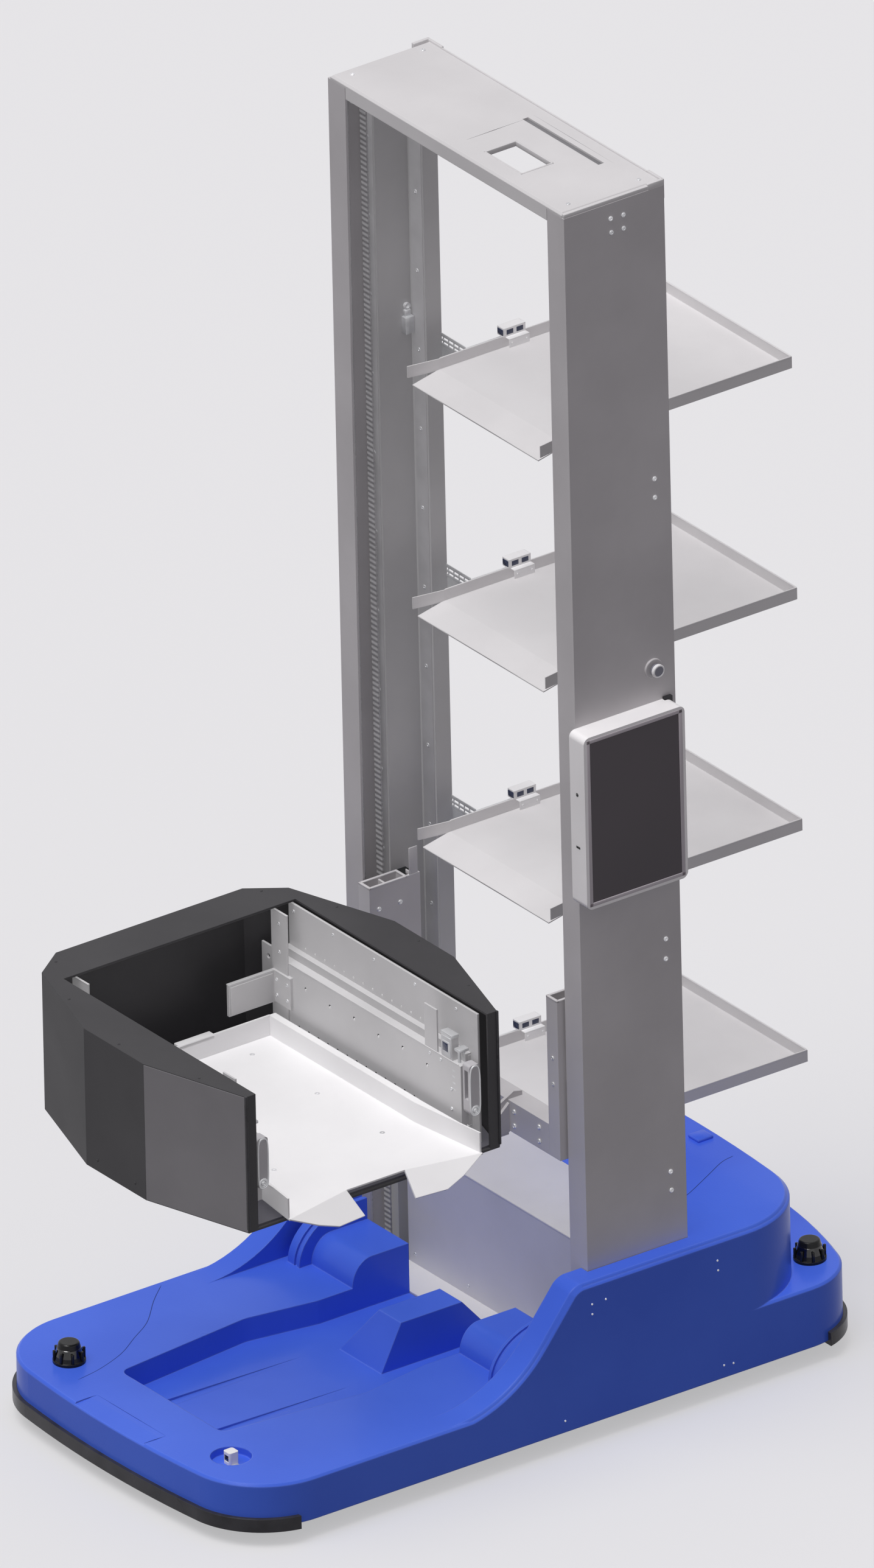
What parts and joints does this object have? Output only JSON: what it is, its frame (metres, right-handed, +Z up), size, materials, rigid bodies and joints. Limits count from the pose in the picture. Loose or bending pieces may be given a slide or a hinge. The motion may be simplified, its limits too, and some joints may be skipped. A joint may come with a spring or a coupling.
{
  "type": "tote-carrying mobile robot",
  "caption": "Wheeled robot with a mast of shelves and a lifting, turning fork unit that slides totes in and out.",
  "frame": {"origin": "floor level, middle of the base over its bumpers", "axes": "+Z up; the low deck and the fork are towards -Y, the shelves towards +Y; the touch panel is on the +X side"},
  "size_m": [0.7784, 1.3958, 2.334],
  "materials": {
    "blue_cover": "smooth moulded cover, soft gloss",
    "frame_steel": "black powder coat",
    "bumper_rubber": "matte black strip",
    "scanner_black": "dark window plastic",
    "sensor_white": "white plastic",
    "battery_case": "dark case",
    "box_aluminium": "ribbed lid",
    "motor_black": "black motor housing",
    "mast_paint": "light grey powder coat",
    "belt_rubber": "toothed belt",
    "bearing_steel": "ground steel",
    "shoe_plastic": "sliding shoe",
    "screen_glass": "dark display glass",
    "collar_plastic": "grey collar",
    "button_red": "red mushroom head",
    "shell_charcoal": "charcoal textured paint",
    "fork_steel": "dark base plate",
    "tray_white": "white powder coat",
    "arm_metal": "light grey satin plate",
    "finger_black": "finger with rubber face",
    "wheel_tyre": "solid tyre",
    "caster_zinc": "zinc-plated caster"
  },
  "bodies": {
    "robot": {"base_cover": "blue_cover", "base_frame": "frame_steel", "front_bumper": "bumper_rubber", "rear_bumper": "bumper_rubber", "lidar_front": "scanner_black", "lidar_rear": "scanner_black", "corner_sensor": "sensor_white", "battery_pack": "battery_case", "control_box": "box_aluminium", "drive_inverter": "box_aluminium", "drive_motors": "motor_black", "mast_column_left": "mast_paint", "mast_column_right": "mast_paint", "guide_rails": "mast_paint", "mast_top_cover": "mast_paint", "mast_top_tie": "mast_paint", "mast_cabinet": "mast_paint", "mast_foot_plate": "mast_paint", "lift_motor": "motor_black", "lift_belts": "belt_rubber", "pulley_bearings": "bearing_steel", "shelf_1": "mast_paint", "shelf_2": "mast_paint", "shelf_3": "mast_paint", "shelf_4": "mast_paint", "shelf_brackets": "mast_paint", "shelf_sensors": "sensor_white", "panel_housing": "mast_paint", "panel_screen": "screen_glass", "stop_button_base": "collar_plastic"},
    "stop_button": {"stop_button": "button_red"},
    "lower_shaft": {"lower_shaft": "bearing_steel"},
    "upper_shaft": {"upper_shaft": "bearing_steel"},
    "carriage": {"carriage_brackets": "mast_paint", "carriage_beam": "mast_paint", "guide_shoes": "shoe_plastic", "turntable_ring": "bearing_steel", "turn_motor": "motor_black"},
    "fork": {"fork_shell": "shell_charcoal", "fork_base": "fork_steel", "fork_tray": "tray_white", "arm_motors": "motor_black", "arm_plate_far": "arm_metal", "arm_plate_near": "arm_metal"},
    "mid_far": {"arm_mid_far": "arm_metal"},
    "inner_far": {"arm_inner_far": "arm_metal"},
    "finger_far": {"finger_far": "finger_black"},
    "mid_near": {"arm_mid_near": "arm_metal"},
    "inner_near": {"arm_inner_near": "arm_metal"},
    "finger_near": {"finger_near": "finger_black"},
    "drive_wheel_left": {"drive_wheel_left": "wheel_tyre"},
    "drive_wheel_right": {"drive_wheel_right": "wheel_tyre"},
    "caster_fork_1": {"caster_fork_1": "caster_zinc"},
    "caster_wheel_1": {"caster_wheel_1": "wheel_tyre"},
    "caster_fork_2": {"caster_fork_2": "caster_zinc"},
    "caster_wheel_2": {"caster_wheel_2": "wheel_tyre"},
    "caster_fork_3": {"caster_fork_3": "caster_zinc"},
    "caster_wheel_3": {"caster_wheel_3": "wheel_tyre"},
    "caster_fork_4": {"caster_fork_4": "caster_zinc"},
    "caster_wheel_4": {"caster_wheel_4": "wheel_tyre"}
  },
  "joints": [
    {"name": "lift", "type": "slide", "parent": "robot", "child": "carriage", "axis": [0, 0, 1], "range_m": [-0.26, 1.4]},
    {"name": "turntable", "type": "hinge", "parent": "carriage", "child": "fork", "pos_m": [0, -0.347, 0.586], "axis": [0, 0, 1], "range_deg": [0, 180]},
    {"name": "arm_far_reach", "type": "slide", "parent": "fork", "child": "mid_far", "axis": [1, 0, 0], "range_m": [0, 0.3]},
    {"name": "arm_far_inner", "type": "slide", "parent": "mid_far", "child": "inner_far", "axis": [1, 0, 0], "range_m": [0, 0.3]},
    {"name": "arm_near_reach", "type": "slide", "parent": "fork", "child": "mid_near", "axis": [1, 0, 0], "range_m": [0, 0.3]},
    {"name": "arm_near_inner", "type": "slide", "parent": "mid_near", "child": "inner_near", "axis": [1, 0, 0], "range_m": [0, 0.3]},
    {"name": "finger_far_fold", "type": "hinge", "parent": "inner_far", "child": "finger_far", "pos_m": [0.3, -0.122, 0.665], "axis": [1, 0, 0], "range_deg": [0, 90]},
    {"name": "finger_near_fold", "type": "hinge", "parent": "inner_near", "child": "finger_near", "pos_m": [0.3, -0.572, 0.665], "axis": [-1, 0, 0], "range_deg": [0, 90]},
    {"name": "stop_press", "type": "slide", "parent": "robot", "child": "stop_button", "axis": [-1, 0, 0], "range_m": [0, 0.004], "stiffness_N_per_m": 1500},
    {"name": "lower_shaft_spin", "type": "hinge", "parent": "robot", "child": "lower_shaft", "pos_m": [0, 0.118, 0.062], "axis": [1, 0, 0], "continuous": true},
    {"name": "upper_shaft_spin", "type": "hinge", "parent": "robot", "child": "upper_shaft", "pos_m": [0, 0.118, 2.303], "axis": [1, 0, 0], "continuous": true},
    {"name": "drive_left_spin", "type": "hinge", "parent": "robot", "child": "drive_wheel_left", "pos_m": [-0.2, -0.008, 0.062], "axis": [1, 0, 0], "continuous": true},
    {"name": "drive_right_spin", "type": "hinge", "parent": "robot", "child": "drive_wheel_right", "pos_m": [0.2, -0.008, 0.062], "axis": [1, 0, 0], "continuous": true},
    {"name": "caster_1_swivel", "type": "hinge", "parent": "robot", "child": "caster_fork_1", "pos_m": [0.262, -0.465, 0.09], "axis": [0, 0, 1], "continuous": true},
    {"name": "caster_1_roll", "type": "hinge", "parent": "caster_fork_1", "child": "caster_wheel_1", "pos_m": [0.262, -0.443, 0.035], "axis": [1, 0, 0], "continuous": true},
    {"name": "caster_2_swivel", "type": "hinge", "parent": "robot", "child": "caster_fork_2", "pos_m": [-0.262, -0.465, 0.09], "axis": [0, 0, 1], "continuous": true},
    {"name": "caster_2_roll", "type": "hinge", "parent": "caster_fork_2", "child": "caster_wheel_2", "pos_m": [-0.262, -0.443, 0.035], "axis": [1, 0, 0], "continuous": true},
    {"name": "caster_3_swivel", "type": "hinge", "parent": "robot", "child": "caster_fork_3", "pos_m": [0.25, 0.54, 0.09], "axis": [0, 0, 1], "continuous": true},
    {"name": "caster_3_roll", "type": "hinge", "parent": "caster_fork_3", "child": "caster_wheel_3", "pos_m": [0.25, 0.562, 0.035], "axis": [1, 0, 0], "continuous": true},
    {"name": "caster_4_swivel", "type": "hinge", "parent": "robot", "child": "caster_fork_4", "pos_m": [-0.25, 0.54, 0.09], "axis": [0, 0, 1], "continuous": true},
    {"name": "caster_4_roll", "type": "hinge", "parent": "caster_fork_4", "child": "caster_wheel_4", "pos_m": [-0.25, 0.562, 0.035], "axis": [1, 0, 0], "continuous": true}
  ],
  "couplings": [
    {"joint": "arm_far_inner", "follows": "arm_far_reach", "ratio": 1},
    {"joint": "arm_near_reach", "follows": "arm_far_reach", "ratio": 1},
    {"joint": "arm_near_inner", "follows": "arm_far_reach", "ratio": 1},
    {"joint": "finger_near_fold", "follows": "finger_far_fold", "ratio": 1},
    {"joint": "lower_shaft_spin", "follows": "lift", "rad_per_m": -51.151},
    {"joint": "upper_shaft_spin", "follows": "lift", "rad_per_m": -51.151}
  ]
}
